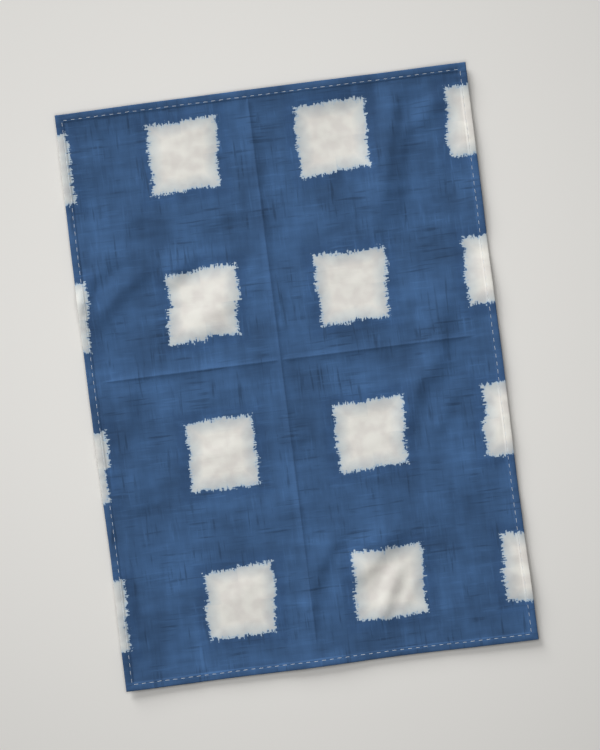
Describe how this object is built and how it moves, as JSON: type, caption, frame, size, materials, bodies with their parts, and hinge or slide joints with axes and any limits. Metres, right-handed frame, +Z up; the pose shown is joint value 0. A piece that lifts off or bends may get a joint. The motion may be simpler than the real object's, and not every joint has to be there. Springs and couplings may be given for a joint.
{
  "type": "shibori dyed cloth",
  "caption": "Hemmed rectangular indigo cloth with a grid of undyed white resist squares, lying face up with pressed creases and soft folds.",
  "frame": {"origin": "on the surface the cloth lies on, under the middle of the cloth's outline", "axes": "+Z up out of the face of the cloth, +Y along its length towards the picture's top edge, +X along its width towards the picture's right edge"},
  "size_m": [0.5002, 0.7, 0.0099],
  "materials": {
    "dyed_cloth": "matte plain-weave cotton, indigo dyed with undyed white squares",
    "sewing_thread": "matte twisted cotton sewing thread"
  },
  "bodies": {
    "root": {"cloth": "dyed_cloth"}
  },
  "joints": []
}
